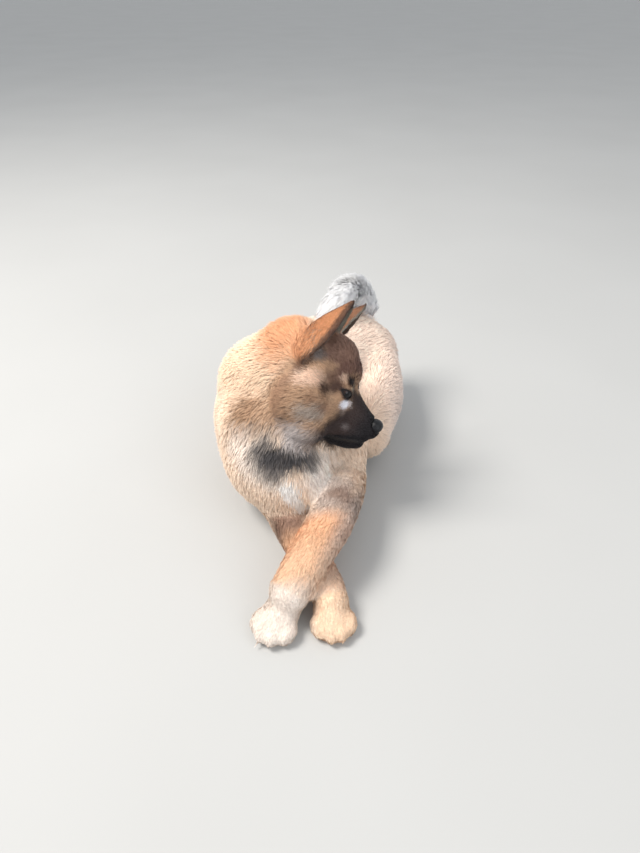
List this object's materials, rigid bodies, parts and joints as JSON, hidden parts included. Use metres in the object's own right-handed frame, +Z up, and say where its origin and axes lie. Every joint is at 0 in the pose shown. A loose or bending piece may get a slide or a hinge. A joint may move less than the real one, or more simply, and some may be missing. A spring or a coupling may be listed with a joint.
{
  "type": "museum model of a dog",
  "caption": "Life-size model of a shiba inu puppy lying on its chest, forelegs crossed, head turned over its left shoulder and tail curled over its back.",
  "frame": {"origin": "on the floor under the middle of the model's box", "axes": "+Z up, the puppy faces -Y with its forelegs stretched that way, its left side is +X"},
  "size_m": [0.2293, 0.4437, 0.2521],
  "materials": {
    "tan_coat": "short plush fur, orange tan",
    "cream_coat": "short plush fur, cream with fine darker hairs",
    "white_coat": "short plush fur, off-white",
    "dark_coat": "very short dark fur",
    "nose_leather": "dark and slightly moist",
    "eyes": "polished, nearly black"
  },
  "bodies": {
    "root": {"torso": "cream_coat", "neck": "tan_coat", "head": "tan_coat", "lower_jaw": "dark_coat", "nose": "nose_leather", "ear_left": "tan_coat", "ear_right": "tan_coat", "eye_left": "eyes", "eye_right": "eyes", "shoulder_left": "cream_coat", "shoulder_right": "cream_coat", "foreleg_left": "cream_coat", "foreleg_right": "cream_coat", "forepaw_left": "white_coat", "forepaw_right": "white_coat", "thigh_left": "cream_coat", "thigh_right": "cream_coat", "hindleg_left": "cream_coat", "hindleg_right": "cream_coat", "hindpaw_left": "white_coat", "hindpaw_right": "white_coat", "tail": "white_coat"}
  },
  "joints": []
}
